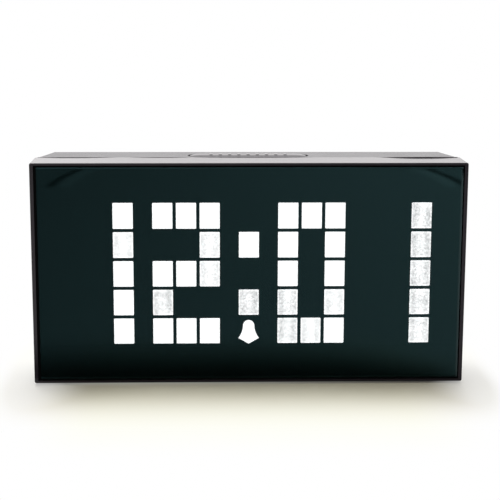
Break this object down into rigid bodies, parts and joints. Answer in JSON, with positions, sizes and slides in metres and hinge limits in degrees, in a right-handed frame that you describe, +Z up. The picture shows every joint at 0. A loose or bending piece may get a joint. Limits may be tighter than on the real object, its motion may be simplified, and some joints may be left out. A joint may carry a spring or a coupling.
{
  "type": "LED alarm clock",
  "caption": "Mains-adapter alarm clock: a wide block casing with a smoked front panel over square light blocks, a snooze bar on top and keys, slides and hangers behind.",
  "frame": {"origin": "on the surface under the feet, at the middle of the clock's width and depth", "axes": "+X to the right of someone facing the display, the display faces -Y, +Z up"},
  "size_m": [0.21, 0.0454, 0.1102],
  "materials": {
    "case_plastic": "satin black moulding",
    "smoked_panel": "polished smoked acrylic",
    "film": "milky film",
    "grid_plastic": "black moulding",
    "board": "green solder mask",
    "led": "phosphor in a white cup",
    "chip": "moulded epoxy",
    "can": "drawn can",
    "steel": "zinc plated",
    "ceramic": "chip resistor",
    "header": "nylon",
    "lead": "flexible PVC",
    "rubber": "soft",
    "key_plastic": "fine texture",
    "switch": "switch housing",
    "plunger": "moulded",
    "cell": "spun steel can"
  },
  "bodies": {
    "case": {"front_bezel": "case_plastic", "front_panel": "smoked_panel", "diffuser_film": "film", "light_grid": "grid_plastic", "led_board": "board", "led_board_screws": "steel", "leds": "led", "controller_chip": "chip", "driver_chips": "chip", "crystal": "can", "buffer_capacitors": "can", "segment_resistors": "ceramic", "cable_headers": "header", "ribbon_cable": "lead", "snooze_lead": "lead", "buzzer_lead": "lead", "cell_lead": "lead", "rear_shell": "case_plastic", "case_screws": "steel", "rubber_feet": "rubber", "control_board": "board", "control_board_screws": "steel", "key_switches": "switch", "slide_switches": "steel", "power_inlet": "switch", "buzzer": "chip", "cell_contact": "steel", "coin_cell": "cell", "cell_cover": "case_plastic", "cell_cover_screw": "steel", "snooze_switch": "switch", "snooze_board": "board", "snooze_board_screws": "steel"},
    "snooze": {"snooze_bar": "case_plastic", "snooze_plunger": "plunger"},
    "time_key": {"time_button": "key_plastic", "time_plunger": "plunger"},
    "alarm_key": {"alarm_button": "key_plastic", "alarm_plunger": "plunger"},
    "up_key": {"up_button": "key_plastic", "up_plunger": "plunger"},
    "down_key": {"down_button": "key_plastic", "down_plunger": "plunger"},
    "alarm_slide": {"alarm_slider": "key_plastic"},
    "dimmer_slide": {"dimmer_slider": "key_plastic"}
  },
  "joints": [
    {"name": "snooze_press", "type": "slide", "parent": "case", "child": "snooze", "axis": [0, 0, -1], "range_m": [0, 0.0006], "stiffness_N_per_m": 400, "springref_m": -0.002},
    {"name": "time_press", "type": "slide", "parent": "case", "child": "time_key", "axis": [0, -1, 0], "range_m": [0, 0.0005], "stiffness_N_per_m": 400, "springref_m": -0.002},
    {"name": "alarm_press", "type": "slide", "parent": "case", "child": "alarm_key", "axis": [0, -1, 0], "range_m": [0, 0.0005], "stiffness_N_per_m": 400, "springref_m": -0.002},
    {"name": "up_press", "type": "slide", "parent": "case", "child": "up_key", "axis": [0, -1, 0], "range_m": [0, 0.0005], "stiffness_N_per_m": 400, "springref_m": -0.002},
    {"name": "down_press", "type": "slide", "parent": "case", "child": "down_key", "axis": [0, -1, 0], "range_m": [0, 0.0005], "stiffness_N_per_m": 400, "springref_m": -0.002},
    {"name": "alarm_slide_joint", "type": "slide", "parent": "case", "child": "alarm_slide", "axis": [1, 0, 0], "range_m": [0, 0.0025]},
    {"name": "dimmer_slide_joint", "type": "slide", "parent": "case", "child": "dimmer_slide", "axis": [1, 0, 0], "range_m": [0, 0.0025]}
  ]
}
